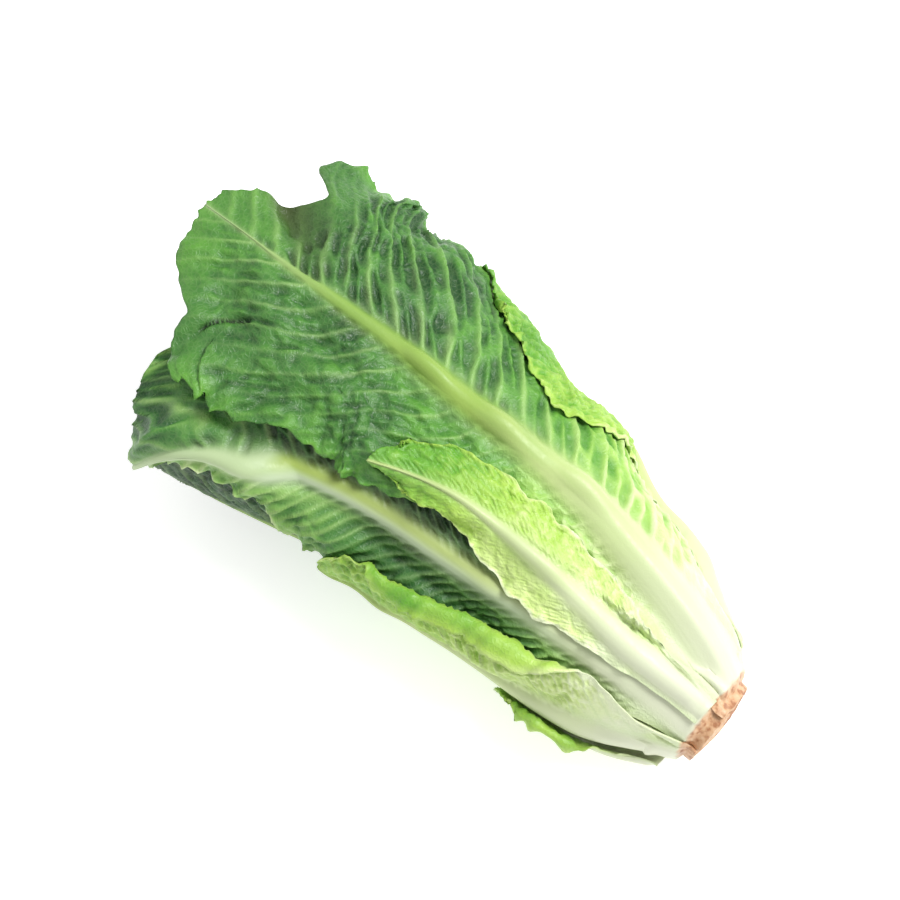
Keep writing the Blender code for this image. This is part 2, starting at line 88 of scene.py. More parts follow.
WIDTH_SHARES = (0, 0.15, 0.35, 0.6, 0.85, 1)
HEART_SHARES = (0, 0.12, 0.3, 0.5, 0.7, 0.85, 1)


def widths(*values, shares=WIDTH_SHARES):
    """Half-widths of a blade at shares of its length."""
    return tuple(zip(shares, values))


def both(value):
    """The same value for both sides of a leaf."""
    return (value, value)


# What a leaf has unless its own row says otherwise. Along a leaf, places are shares of its length.
# Where a value is given for both sides, that of the side of falling angle, "minus", comes first.
#   spine: (distance from the cut, angle) along the midrib
#   plus, minus: blade width on the side of rising and of falling angle
#   lobes: depth of the margin's lobes on each side, how many there are, and where they start
#   level, rise: share of the head's girth at which the blade lies, and how far it stands out from that
#   curl: the share of the head's girth round which the blade's width is measured
#   wave: height of the margin's waves, how many there are, and where they start
#   round: how far the margins' ends stand back from the tip
#   back: in place of round, how far the end stands back, by distance from the midrib
#   cut: the knife went through its root
#   cells: of the inner face, across each side and along; the outer face has twice as many each way
#   depth, rib: depth of the midrib at root and tip, and its half-width, there or along the leaf
#   ridge: its height over the outer face
#   roll: radius of the minus side's roll, width of blade in it, and where it starts and ends
#   crease: a valley from one (distance, angle) to another, its depth and its half-width
#   slit: its ends as (distance from the cut, from the midrib), its half-width and its depth
#   flare: how far the margin of the minus side turns outward
#   dish: depth of the hollow between midrib and margin near the foot
#   air, hug: share kept of the gap to the leaves below, and how closely the margin lies on them
#   gap, fan: between side veins along the midrib, and their angle to it, from root to tip
#   close: how much the side veins bend towards the tip
#   vein, width: height and half-width of the side veins
#   pale, fade: how pale the side veins are, from root to tip, and over what distance that fades
#   pockets: number across a gap between side veins, length along them, and depth
#   lumps: size and height of the lumps towards the margin
#   blister, swell: height of the small blisters and of the broad swells
#   smooth, calm: where the relief sets in, and where the pockets die out towards the tip
#   ragged, ruffle: depth of the margin's notches, and height of its short ruffles
#   dent, band: how much painted shade darkens the relief's hollows to a deeper green, with a little painted
#       light on its ridges, and how much greener the rolled margin is, which is smooth
#   flanks: how far painted shade turns the midrib's minus flank olive yellow, and how far painted light
#       pales its plus flank, and with it the midrib's node
#   ramp, tone: the leaf's family of colours, and how fast the midrib turns green from the cut on
#   tint: 0 cream to 1 deep green, by distance from the cut; tint_plus is for the plus side alone
PLAIN = dict(
    cut=False, cells=(56, 90), lobes=(0, 0, 1, 0), curl=1, rise=((0, 0), (1, 0)),
    ridge=((0, 0.3), (0.12, 1.5), (0.5, 1.2), (1, 0.3)), flare=((0, 0), (1, 0)), dish=both(0), air=0.6,
    hug=both(0), gap=both((9, 11)), fan=both((48, 48)), close=both(0.4), vein=both(0.5),
    width=both(0.9), pale=both((0.5, 0.35)), fade=both(60), pockets=both((2, 8, 1.2)),
    lumps=both((8, 0.8)), blister=both(0.3), swell=both(0.8), smooth=(0.06, 0.34),
    calm=both((1.1, 1.2)), ragged=both(1.8), ruffle=both(1.2), dent=both(0.14), band=0,
    flanks=(0, 0), tone=1, ramp="green",
    tint=((0, 0), (50, 0.06), (90, 0.25), (140, 0.6), (190, 0.78), (248, 0.84)),
)
LEAVES = []  # from the heart outwards


def add_leaf(name, **own):
    LEAVES.append(PLAIN | own | {"name": name})


def heart(number, angle, level, root, tip, width):
    """Adds one inner leaf, cupped round the heart."""
    side = widths(*(width * s for s in (0.3, 0.36, 0.55, 0.85, 1, 0.95, 0.55)), shares=HEART_SHARES)
    add_leaf(
        f"heart_leaf_{number}", cells=(36, 56), curl=level, plus=side, minus=side,
        spine=((root, angle), (root + (tip - root) * 0.4, angle + 3), (tip, angle - 5)),
        level=((0, level), (1, level)), depth=(3.2, 0.6), rib=(5.5, 1.5), round=0.16,
        wave=(2 + 0.3 * number, 4.3, 0.37 * number), lobes=(0.05, 0.05, 5, 0.21 * number),
        vein=both(0.8), width=both(1.1), pale=both((0.7, 0.6)), pockets=both((2, 7, 1.5)),
        ragged=both(2.4), ruffle=both(2), ramp="light",
        tint=((20, 0), (110, 0.1), (170, 0.3), (240, 0.55)),
    )


heart(1, 95, 0.2, 44, 205, 26)
heart(2, 232, 0.27, 38, 212, 32)
heart(3, 10, 0.34, 32, 220, 38)
heart(4, 147, 0.41, 27, 226, 42)
heart(5, 285, 0.48, 22, 232, 46)
heart(6, 62, 0.56, 18, 240, 50)
heart(7, 200, 0.64, 14, 236, 52)
add_leaf(
    "back_leaf",
    spine=((14, 22), (50, 22), (110, 24), (180, 27), (248, 30)),
    plus=widths(9, 14, 30, 46, 44, 26), minus=widths(9, 14, 30, 44, 42, 24),
    lobes=(0.07, 0.07, 6, 0.3), level=((0, 0.82), (0.5, 0.8), (1, 0.8)),
    depth=(3.5, 0.9), rib=(7, 1.8), round=0.12, wave=(3, 5.2, 0.1),
)
add_leaf(
    "lower_leaf", cells=(70, 110), ramp="dark",
    spine=((16, 184), (60, 186), (130, 189), (190, 190), (247, 190)),
    minus=((0, 8), (0.2, 14), (0.4, 19), (0.6, 22), (0.8, 30), (0.9, 35), (1, 30)),
    plus=((0, 8), (0.2, 14), (0.4, 26), (0.55, 40), (0.7, 44), (0.85, 36), (1, 20)),
    back=((-40, 12), (-20, 4), (0, 0), (15, -5), (26, -1), (38, 14)),
    level=((0, 0.86), (0.5, 0.9), (0.75, 0.97), (1, 1)),
    depth=(3, 0.9), rib=(7, 1.6), wave=(3.2, 5.6, 0.8), vein=both(0.8),
    pockets=both((2, 8, 1.6)), lumps=both((8, 1.2)), ragged=both(2.2),
    tint=((16, 0.2), (60, 0.5), (110, 0.85), (160, 0.92), (247, 0.94)),
)
add_leaf(
    "side_leaf", cut=True, cells=(90, 150), ramp="dark",
    spine=((-4, 116), (20, 116), (40, 123), (60, 130), (90, 136), (120, 142), (150, 146),
           (180, 151), (205, 156), (220, 160), (229, 165), (235, 171), (240, 178)),
    plus=((0, 12), (0.15, 16), (0.3, 22), (0.5, 32), (0.65, 37), (0.75, 24), (0.85, 9), (1, 3)),
    minus=((0, 11), (0.15, 15), (0.3, 22), (0.5, 32), (0.7, 40), (0.85, 40), (1, 32)),
    back=((-42, 22), (-34, 9), (-22, 0), (-10, -1), (0, 0), (20, 3), (36, 8)),
    level=((0, 1), (0.12, 0.94), (0.3, 0.86), (0.7, 0.86), (0.88, 0.93), (1, 1)),
    depth=(5.5, 1), wave=(3, 4.6, 0.6),
    rib=((0, 10), (0.2, 7), (0.4, 5.6), (0.6, 4.6), (0.8, 3.6), (0.9, 2.2), (1, 1.2)),
    ridge=((0, 0.3), (0.1, 1.6), (0.4, 2.2), (0.84, 1.8), (1, 0.5)),
    gap=((8, 10), (6, 7)), fan=((50, 50), (55, 50)), close=(0.6, 0.8), vein=(0.5, 0.8),
    width=(0.8, 1), pale=((0.2, 0.6), (0.9, 0.9)), fade=(50, 12),
    pockets=((2, 9, 1.6), (1, 8, 1.3)), ragged=(1.6, 2.4), ruffle=(1.2, 2.2), dent=(0.34, 0.2),
    flanks=(0.5, 0.9), tone=0.75,
    tint=((0, 0), (40, 0.15), (60, 0.42), (85, 0.68), (120, 0.8), (195, 0.8), (215, 0.62),
          (264, 0.52)),
    tint_plus=((0, 0), (40, 0.12), (60, 0.32), (85, 0.6), (120, 0.74), (150, 0.7), (170, 0.46),
               (200, 0.32), (264, 0.34)),
)
add_leaf(
    "under_leaf_right", cut=True,
    spine=((-4, 298), (60, 298), (140, 298), (228, 296)),
    plus=widths(9, 15, 30, 46, 44, 26), minus=widths(9, 15, 28, 40, 38, 24),
    lobes=(0.06, 0.06, 6, 0.7), level=((0, 1), (0.15, 0.95), (0.35, 0.92), (1, 0.92)),
    depth=(5, 1), rib=(8.5, 1.8), round=0.13, wave=(2.4, 4.7, 0.4),
)
add_leaf(
    "under_leaf_left", cut=True,
    spine=((-4, 240), (60, 240), (140, 241), (238, 244)),
    plus=widths(9, 15, 28, 40, 40, 26), minus=widths(9, 15, 26, 32, 34, 24),
    lobes=(0, 0.06, 6, 0.2), level=((0, 1), (0.15, 0.96), (0.35, 0.95), (1, 0.92)),
    depth=(5, 1), rib=(8.5, 1.8), round=0.13, wave=(2.4, 5.3, 0.2),
)
add_leaf(
    "front_leaf", cut=True, cells=(108, 170),
    spine=((-4, 67), (25, 65), (55, 63), (87, 63), (125, 68), (175, 76), (200, 78.5),
           (228, 84), (252, 88), (275, 90.5), (294, 93.5)),
    minus=((0, 15), (0.1, 36), (0.2, 50), (0.3, 58), (0.5, 64), (0.7, 71), (0.9, 74), (1, 68)),
    plus=((0, 11), (0.15, 20), (0.3, 31), (0.45, 43), (0.6, 58), (0.7, 63), (0.8, 60), (0.9, 61),
          (1, 58)),
    back=((-70, 34), (-60, 22), (-50, 20), (-41, 31), (-33, 20), (-20, 5), (0, 0), (20, 4),
          (35, 14), (42, 28), (50, 31), (60, 48)),
    level=((0, 1), (0.1, 0.98), (0.3, 0.94), (0.8, 0.95), (1, 1.05)),
    depth=(5.5, 1.1), wave=(3.2, 6.2, 0),
    rib=((0, 12), (0.15, 10), (0.3, 8.8), (0.45, 7.4), (0.6, 5.8), (0.7, 4.2), (0.8, 2.6),
         (0.86, 1.6), (0.9, 0.7), (1, 0.3)),
    ridge=((0, 0.3), (0.08, 2), (0.35, 2.8), (0.65, 1.6), (0.9, 0.6), (1, 0.4)),
    crease=((236, 84), (269, 53), 9, 8), slit=((256, 46), (246, 34), 0.9, 2),
    flare=((0.2, 0), (0.35, 2), (0.6, 2.5), (0.7, 5), (1, 5)), dish=(0, 5),
    gap=((14, 12), (8, 16)), fan=((60, 64), (76, 44)), close=(0.1, 0.2), vein=(1.1, 0.45),
    width=(1.5, 0.8), pale=((0.85, 0.34), (0.55, 0.5)), pockets=((2, 24, 1.7), (2, 14, 1)),
    lumps=((5, 0.7), (8, 0.8)), blister=(0.3, 0.5), swell=(1, 2.8),
    calm=((0.86, 0.95), (0.9, 1)), ragged=(2.6, 2.8), ruffle=(1.3, 1.5), dent=(0.3, 0.22),
    tint=((0, 0), (50, 0.05), (85, 0.16), (112, 0.34), (140, 0.54), (170, 0.7), (210, 0.79),
          (250, 0.76), (295, 0.66)),
)
add_leaf(
    "wrap_leaf", cut=True, cells=(72, 118), ramp="light",
    spine=((-4, 354), (60, 352), (130, 352), (204, 356)),
    plus=((0, 9), (0.2, 8), (0.4, 8), (0.5, 14), (0.6, 34), (0.7, 45), (0.8, 42), (0.9, 34), (1, 24)),
    minus=widths(9, 13, 21, 28, 30, 14), lobes=(0.07, 0, 8, 0.3),
    level=((0, 1), (0.12, 0.98), (0.3, 0.95), (1, 0.97)),
    rise=((0, 0), (0.7, 0), (0.85, 2.5), (1, 4)), air=0.3, hug=(0, 0.95),
    depth=(5, 0.9), rib=(8.5, 1.6), round=0.1, wave=(2, 6.5, 0.5), vein=(0.5, 0.7),
    pale=((0.5, 0.35), (0.6, 0.5)), lumps=((7, 0.8), (6, 0.9)), ragged=(1.8, 2.6),
    ruffle=(1.2, 0.8), tint=((0, 0), (60, 0.08), (100, 0.26), (140, 0.46), (204, 0.52)),
)
add_leaf(
    "fold_leaf", cut=True, cells=(76, 112), ramp="light",
    spine=((-4, 178), (40, 180), (90, 184), (130, 186), (166, 186)),
    minus=((0, 12), (0.15, 20), (0.3, 30), (0.5, 36), (0.7, 35), (0.85, 31), (0.95, 22), (1, 12)),
    plus=widths(9, 14, 24, 30, 25, 12), lobes=(0, 0.05, 8, 0.6),
    back=((-36, 15), (-15, 8), (0, 7), (15, 8), (30, 15)), roll=(2.6, 11, 0.3, 0.96),
    level=((0, 1), (0.15, 0.98), (0.5, 0.95), (1, 0.97)), depth=(4.5, 0.9), rib=(8.5, 1.5),
    wave=(1.2, 6, 0.2), gap=((6, 8), (7, 8)), fan=((62, 62), (50, 50)), vein=both(0.6),
    pale=((0.6, 0.5), (0.5, 0.4)), pockets=((2, 6, 1.3), (3, 6, 1.2)),
    lumps=((5, 0.7), (6, 1)), blister=(0.4, 0.5), smooth=(0.2, 0.38), ragged=(1.8, 2),
    ruffle=(1.6, 1.2), band=0.16, tint=((0, 0), (45, 0.05), (65, 0.13), (100, 0.26), (166, 0.46)),
)
add_leaf(
    "base_leaf", cells=(36, 50), ramp="light",
    spine=((5, 200), (35, 198), (74, 195)), level=((0, 1), (1, 1)),
    minus=((0, 5), (0.2, 6), (0.4, 12), (0.6, 15), (0.8, 14), (1, 8)),
    plus=((0, 5), (0.2, 6), (0.5, 11), (0.8, 10), (1, 6)), roll=(1.6, 5.5, 0.3, 0.98),
    depth=(2.4, 0.6), rib=(7, 1.5), round=0.12, wave=(1.2, 4, 0.4),
    tint=((5, 0.1), (25, 0.26), (74, 0.38)),
)
add_leaf(
    "short_leaf", cells=(70, 120), ramp="light",
    spine=((6, 104), (20, 105), (48, 109), (75, 109), (110, 110), (135, 113), (158, 122),
           (169, 127)),
    plus=((0, 6), (0.15, 7.5), (0.3, 11), (0.48, 18), (0.62, 17.5), (0.75, 13), (0.85, 11),
          (0.95, 8), (1, 4)),
    minus=((0, 5.5), (0.15, 7.5), (0.28, 13), (0.37, 19), (0.5, 20.5), (0.7, 21), (0.8, 20),
           (0.9, 17), (1, 9)),
    lobes=(0.05, 0.05, 9, 0.2), level=((0, 1), (0.3, 0.98), (1, 0.98)), hug=both(0.5),
    depth=(3, 0.6), round=0.05, wave=(1.3, 5, 0.7),
    rib=((0, 7), (0.15, 6), (0.4, 4.6), (0.6, 3), (0.75, 1.6), (0.85, 0.6), (1, 0.2)),
    ridge=((0, 0.3), (0.15, 1.5), (0.5, 1.2), (0.8, 0.5), (1, 0.1)), gap=both((8, 9)),
    fan=both((32, 38)), close=both(0.3), vein=both(0.2), width=both(0.7), pale=both((0.15, 0.15)),
    pockets=((3, 5, 0.6), (3, 5, 0.35)), lumps=((5, 0.7), (5, 0.4)), blister=(0.45, 0.3),
    swell=(1, 0.8), ragged=both(1.6), ruffle=(1, 0.8), dent=both(0.12), tone=0.7,
    tint=((6, 0), (60, 0.05), (90, 0.16), (125, 0.3), (150, 0.46), (175, 0.6)),
)


def curve(x, knots):
    """A smooth curve through (x, value) pairs, level beyond its ends."""
    at, value = (np.array(column, float) for column in zip(*knots))
    slope = np.gradient(value, at)
    x = np.clip(x, at[0], at[-1])
    i = np.clip(np.searchsorted(at, x, side="right") - 1, 0, len(at) - 2)
    step = at[i + 1] - at[i]
    t = (x - at[i]) / step
    rise = t * t * (3 - 2 * t)
    bend = step * (slope[i] * t * (1 - t) ** 2 - slope[i + 1] * t * t * (1 - t))
    return value[i] * (1 - rise) + value[i + 1] * rise + bend


def between(x, low, high):
    """0 up to low, 1 from high on, and smooth between."""
    t = np.clip((x - low) / (high - low), 0, 1)
    return t * t * (3 - 2 * t)


def lattice(i, j):
    """Which of the RANDOM_VALUES belongs to a point of a whole-number grid."""
    return (i * 1619 + j * 3571) % RANDOM_VALUES


class Noise:
    """Smooth noise over a plane, from about -1 to 1 and the same each run."""

    def __init__(self, seed):
        self.turn = np.random.default_rng(seed).random(RANDOM_VALUES) * math.tau

    def at(self, x, y):
        x, y = np.broadcast_arrays(np.asarray(x, float), np.asarray(y, float))
        i, j = np.floor(x).astype(int), np.floor(y).astype(int)
        p, q = x - i, y - j

        def slope(di, dj):
            turn = self.turn[lattice(i + di, j + dj)]
            return np.cos(turn) * (p - di) + np.sin(turn) * (q - dj)

        fade_p, fade_q = (t**3 * (t * (6 * t - 15) + 10) for t in (p, q))
        low, high = (slope(0, dj) * (1 - fade_p) + slope(1, dj) * fade_p for dj in (0, 1))
        return 1.6 * (low * (1 - fade_q) + high * fade_q)


class Cells:
    """Irregular cells over a plane: 0 on the lines between them and 1 well within."""

    def __init__(self, seed):
        self.shift = np.random.default_rng(seed).random((RANDOM_VALUES, 2)) - 0.5

    def at(self, x, y, loose=(0.9, 0.9)):
        x, y = np.broadcast_arrays(x, y)
        i, j = np.floor(x).astype(int), np.floor(y).astype(int)
        first, second = np.full(x.shape, 9.0), np.full(x.shape, 9.0)
        for di in (-1, 0, 1):
            for dj in (-1, 0, 1):
                shift = self.shift[lattice(i + di, j + dj)]
                aside = i + di + 0.5 + loose[0] * shift[..., 0] - x
                beyond = j + dj + 0.5 + loose[1] * shift[..., 1] - y
                far = np.hypot(aside, beyond)
                second = np.minimum(second, np.maximum(first, far))
                first = np.minimum(first, far)
        return between(second - first, 0.0, 0.55)


def girth(along, values):
    return curve(along, tuple(zip(GIRTH_AT, values)))


def mean_radius(along):
    """The radius on which widths across the leaves are turned into angles."""
    width = 0.5 * (girth(along, GIRTH_PLUS) + girth(along, GIRTH_MINUS))
    return np.sqrt(width * girth(along, GIRTH_DEPTH))


def shell_radius(along, angle):
    """The head's outer form: an oval section, flattened where it lies on the surface."""
    c, s = np.cos(angle), np.sin(angle)
    width = np.where(c > 0, girth(along, GIRTH_PLUS), girth(along, GIRTH_MINUS))
    oval = ((np.abs(c) / width) ** OVAL + (np.abs(s) / girth(along, GIRTH_DEPTH)) ** OVAL) ** (-1 / OVAL)
    below = (AXIS_HEIGHT + along * math.sin(HEAD_TILT)) / math.cos(HEAD_TILT)
    surface = below / np.maximum(-np.sin(angle), 0.05)
    return (oval**-10 + surface**-10) ** -0.1


def swept(grid, steps, mixed):
    """The grid after steps in which each value is mixed with its neighbours down and round the grid."""
    for _ in range(steps):
        padded = np.pad(grid, ((1, 1), (0, 0)), mode="edge")
        grid = mixed(padded[:-2], grid, padded[2:])
        grid = mixed(np.roll(grid, 1, 1), grid, np.roll(grid, -1, 1))
    return grid


def widened(grid, steps):
    return swept(grid, steps, lambda before, here, after: np.maximum.reduce([here, before, after]))


def blurred(grid, steps):
    return swept(grid, steps, lambda before, here, after: 0.25 * before + 0.5 * here + 0.25 * after)


def eased(grid):
    """The grid raised so that it falls away gently round its heights."""
    for _ in range(EASE_STEPS):
        padded = np.pad(grid, 1, mode="edge")
        beside = padded[:-2, 1:-1] + padded[2:, 1:-1] + padded[1:-1, :-2] + padded[1:-1, 2:]
        grid = np.maximum(grid, 0.25 * beside)
    return grid


class Cover:
    """How far from the axis the stem and the laid leaves reach, on a grid of distance and angle."""

    def __init__(self):
        along = MAP_START + MAP_STEP * np.arange(MAP_ROWS)
        angle = np.arange(MAP_COLUMNS) * math.tau / MAP_COLUMNS
        self.along, self.angle = np.meshgrid(along, angle, indexing="ij")
        lean = -self.along * math.tan(CUT_TILT) * np.cos(self.angle)
        stem = curve(self.along, STEM_PROFILE) + lean
        self.reach = np.maximum(np.where(self.along <= STEM_PROFILE[-1][0], stem, 0), 2.0)
        self.settle()

    def settle(self):
        """Rounds the reach off outwards, so that a leaf can bend over what lies below it."""
        self.touch = blurred(self.reach, 1)
        self.close = blurred(widened(self.reach, 1), 1)
        tight = blurred(widened(self.reach, 2), 4)
        loose = blurred(widened(self.reach, 5), 30)
        peaks = np.clip(self.reach - loose, 0, None)
        loose = loose + blurred(widened(peaks, 6), 12)
        leafy = np.clip((self.along - 6) / 34, 0, 1)
        self.smooth = np.maximum(tight * (1 - leafy) + loose * leafy, self.reach)

    def cell(self, along, angle):
        """Row and column of a point, with the shares of the way to the next ones."""
        row = np.clip((along - MAP_START) / MAP_STEP, 0, MAP_ROWS - 1.001)
        column = np.mod(angle * MAP_COLUMNS / math.tau, MAP_COLUMNS)
        i, j = row.astype(int), column.astype(int) % MAP_COLUMNS
        return i, j, row - i, column - np.floor(column)

    def under(self, along, angle, grid):
        """The reach at a point of a grid, between its points."""
        i, j, p, q = self.cell(along, angle)
        next_j = (j + 1) % MAP_COLUMNS
        low, high = (grid[row, j] * (1 - q) + grid[row, next_j] * q for row in (i, i + 1))
        return low * (1 - p) + high * p

    def lay(self, along, angle, outside):
        """Raises the reach to a leaf's outer face."""
        i, j, _, _ = self.cell(along, angle)
        for di in (0, 1):
            for dj in (0, 1):
                at = (np.minimum(i + di, MAP_ROWS - 1), (j + dj) % MAP_COLUMNS)
                np.maximum.at(self.reach, at, outside)
        self.settle()


def beside_line(x, y, start, end):
    """Share of the way along a line, and distance to one side of it."""
    line = np.array(end, float) - start
    x, y = x - start[0], y - start[1]
    return (x * line[0] + y * line[1]) / (line @ line), (x * line[1] - y * line[0]) / np.sqrt(line @ line)


class Blade:
    """One leaf as grids of points: c runs from -1 to 1 across it, and v from 0 at the root to 1."""

    def __init__(self, leaf, cover, seed):
        self.leaf, self.cover, self.cut = leaf, cover, leaf["cut"]
        self.root, self.tip = leaf["spine"][0][0], leaf["spine"][-1][0]
        self.noise = [Noise(seed * 10 + k) for k in range(4)]
        self.cells = [Cells(seed * 10 + k) for k in (5, 6)]
        across, along = leaf["cells"]
        columns = np.linspace(-1, 1, 2 * across + 1)
        self.c, self.v = np.meshgrid(columns, np.linspace(0, 1, 2 * along + 1), indexing="ij")
        self.side = np.where(self.c < 0, -1, 1)
        self.slit = np.zeros_like(self.v)
        self.lay_out()
        self.bend()
        self.sculpt()

    def per_side(self, values):
        """The first value on the minus side and the second on the plus side."""
        return np.where(self.c < 0, *values)

    def pick(self, key):
        """A value of the leaf for each side: one grid, or one for each part of the value."""
        pair = self.leaf[key]
        if np.ndim(pair) == 1:
            return self.per_side(pair)
        return [self.per_side(part) for part in zip(*pair)]

    def ranged(self, key):
        """A value that goes evenly from root to tip, for each side."""
        return self.per_side([root + (tip - root) * self.v for root, tip in self.leaf[key]])

    def lay_out(self):
        """Distances along and across the flat leaf."""
        c, v = self.c, self.v
        self.along = self.root + (self.tip - self.root) * v
        *depth, count, start = self.leaf["lobes"]
        turn = count * v + (start + self.per_side((0.37, 0)))
        lobes = self.per_side(depth) * np.sin(math.tau * turn) * np.clip(v / 0.3, 0, 1)
        self.even_half = self.per_side([curve(v, self.leaf[key]) for key in ("minus", "plus")]) * (1 + lobes)
        ragged = self.pick("ragged") * between(v, 0.15, 0.4)
        notch = self.noise[0].at(self.along / 11, 7 * self.side)
        teeth = self.noise[0].at(self.along / 3.6, 3 * self.side + 0.5)
        self.half = self.even_half + ragged * (0.6 * notch + 0.35 * teeth)
        rib = self.leaf["rib"]
        if np.ndim(rib) == 1:
            wide, narrow = rib
            rib = narrow + (wide - narrow) * (1 - v) ** 1.6
        else:
            rib = curve(v, rib)
        self.rib_half = np.minimum(rib, 0.7 * self.half)
        inner = np.abs(c) / RIB_SHARE
        outer = (np.abs(c) - RIB_SHARE) / (1 - RIB_SHARE)
        on_blade = self.rib_half + outer * (self.half - self.rib_half)
        self.across = self.side * np.where(inner < 1, inner * self.rib_half, on_blade)
        self.edge = np.clip(np.abs(self.across) / self.half, 0, 1)

    def rib_depth(self):
        """Depth of the midrib, over the blade's own thickness."""
        deep, shallow = self.leaf["depth"]
        depth = shallow + (deep - shallow) * (1 - self.v) ** 1.3
        rise = 1 if self.cut else np.clip(self.v / 0.05, 0.35, 1)
        ratio = np.clip(np.abs(self.across) / self.rib_half, 0, 1)
        return depth * rise * (1 - ratio**2) ** 1.5

    def roll_up(self):
        """Turns the last of the minus side outward and back: its new place across, and the lift."""
        radius, length, start, end = self.leaf["roll"]
        across, v, minus = np.abs(self.across), self.v, self.side < 0
        fade = np.clip((v - start) / 0.12, 0, 1) * np.clip((end - v) / 0.12, 0, 1)
        over = np.clip(across - (self.even_half - length * fade), 0, None) * minus
        turn = np.minimum(over / radius, ROLL_TURN)
        flap = over - turn * radius
        moved = across - over + radius * np.sin(turn) + flap * np.cos(turn)
        lift = radius * (1 - np.cos(turn)) + flap * np.sin(turn)
        return np.where(minus, -moved, self.across), lift

    def stand_back(self, across):
        """How far the leaf's end stands back from its tip, frayed a little."""
        if "back" in self.leaf:
            back = curve(across, self.leaf["back"]) * self.v**3
        else:
            back = self.leaf["round"] * (self.tip - self.root) * self.edge**2 * self.v**3
        frayed = self.noise[3].at(across / 9, 3.5) + 0.5 * self.noise[0].at(across / 3.2, 1.5)
        return back + 0.9 * self.pick("ragged") * frayed * self.v**8

    def crease(self, place, angle):
        """A valley in the blade along a line that starts at the midrib and opens at the margin."""
        *ends, depth, width = self.leaf["crease"]
        start, end = ((at, math.radians(turn) * mean_radius(at)) for at, turn in ends)
        along, off = beside_line(place, angle * mean_radius(place), start, end)
        return depth * np.clip(along, 0, 1.2) * np.exp(-((off / width) ** 2))

    def bend(self):
        """Lays the leaf on the ones below, as in the solids."""
        leaf, cover, v, along = self.leaf, self.cover, self.v, self.along
        spine, curl = leaf["spine"], leaf["curl"]
        middle = math.radians(spine[len(spine) // 2][1])
        spread = (np.radians(curve(along, spine)) - middle) * mean_radius(along) * curl
        lean = np.arctan(np.gradient(spread[0], along[0]))[None, :] * np.clip(v / 0.15, 0, 1)
        across, lift = self.roll_up() if "roll" in leaf else (self.across, np.zeros_like(v))
        self.rolled = between(lift, 0.3, 2.5)
        back = self.stand_back(across)
        self.flat = along - back
        self.place = place = along - across * np.sin(lean) - back * np.cos(lean)
        turned = spread + across * np.cos(lean) - back * np.sin(lean)
        angle = middle + turned / (mean_radius(place) * curl)

        height, count, start = leaf["wave"]
        wave = height * self.edge**2.5 * np.sin(math.tau * (count * v + start + 0.13 * self.side))
        wave = wave * np.clip(v / 0.25, 0, 1)
        shell = curve(v, leaf["level"]) * shell_radius(place, angle) + curve(v, leaf["rise"])
        valley = self.crease(place, angle) if "crease" in leaf else np.zeros_like(v)
        self.shade, self.tone = valley / VALLEY_DARK, place / RIB_LENGTH * leaf["tone"]
        shell = shell - valley + curve(v, leaf["flare"]) * self.edge**3 * (self.side < 0)
        dish = self.pick("dish") * np.sin(math.pi * self.edge)
        shell = shell - dish * between(v, 0.02, 0.08) * (1 - between(v, 0.25, 0.42))

        air = GAP_FOOT + (GAP_LEAFY - GAP_FOOT) * np.clip(place / FOOT_END, 0, 1)
        resting = cover.under(place, angle, cover.smooth) + leaf["air"] * air
        thick = BLADE + self.rib_depth()
        if self.cut:
            foot = 1 - between(place, 5, FOOT_END)
            thick = thick + foot * (np.clip(shell - resting, 1.4, 7) - thick)
        wanted, resting = shell - thick + wave, eased(resting)
        soft = 0.4 + 4.0 * between(place, 20, 60)
        radius = 0.5 * (wanted + resting + np.sqrt((wanted - resting) ** 2 + soft))
        tight = cover.under(place, angle, cover.touch) + HUG_AIR
        radius = radius + self.pick("hug") * between(self.edge, 0.2, 0.85) * (tight - radius)

        uneven = 0.5 * self.noise[2].at(angle * 9, 0.5)
        slice_depth = SLICE_TOP * np.clip(np.sin(angle), 0, 1) ** 0.6 + SLICE_LOW + uneven
        self.sliced = (1 - between(place, slice_depth - 0.6, slice_depth + 0.4)) * self.cut
        drop = SLICE_DROP * np.clip(1 - place / np.maximum(slice_depth, 0.5), 0, 1) * self.cut
        drop = np.minimum(drop, 0.6 * thick)
        self.outer = polar_point(place, angle, radius + lift + thick - drop)
        self.thick = thick - drop

    def vein_count(self, w):
        """How many side veins leave the midrib before the distance w, and the gap between them there."""
        at = np.linspace(-80, self.tip + 60, 300)
        counts, gaps = [], []
        for side, (near, far) in zip((-1, 1), self.leaf["gap"]):
            gap = near + (far - near) * np.clip((at - self.root) / (self.tip - self.root), 0, 1)
            steps = 0.5 * (at[1] - at[0]) * (1 / gap[1:] + 1 / gap[:-1])
            counts.append(np.interp(w, at, np.concatenate([[0], np.cumsum(steps)])) + 0.43 * side)
            gaps.append(np.interp(w, at, gap))
        return self.per_side(counts), self.per_side(gaps)

    def relief(self):
        """Height over the smooth blade, and the masks that colour it: veins, hollows and midrib."""
        leaf, pick, v, side, edge = self.leaf, self.pick, self.v, self.side, self.edge
        flat, across, away = self.flat, self.across, np.abs(self.across)
        slow, quick, patchy, bumpy = (noise.at for noise in self.noise)
        fan = np.radians(self.ranged("fan"))
        wander = 4.0 * quick(flat / 50, across / 40 + 5 * side) + 0.7 * quick(flat / 10 + 7, across / 12)
        advance = away / np.tan(fan) + pick("close") * away**2 / 50
        number, gap = self.vein_count(flat - advance + wander * between(away, 2, 25))
        nearest = np.abs(number - np.rint(number)) * gap * np.sin(fan)
        veins = np.exp(-((nearest / (pick("width") * (1.25 - 0.6 * edge))) ** 2))
        veins = veins * np.clip(0.75 + 0.6 * patchy(number * 1.3, away / 16), 0.1, 1.2)
        pale = self.ranged("pale") * (1 - 0.7 * edge**2) * np.exp(-away / pick("fade"))

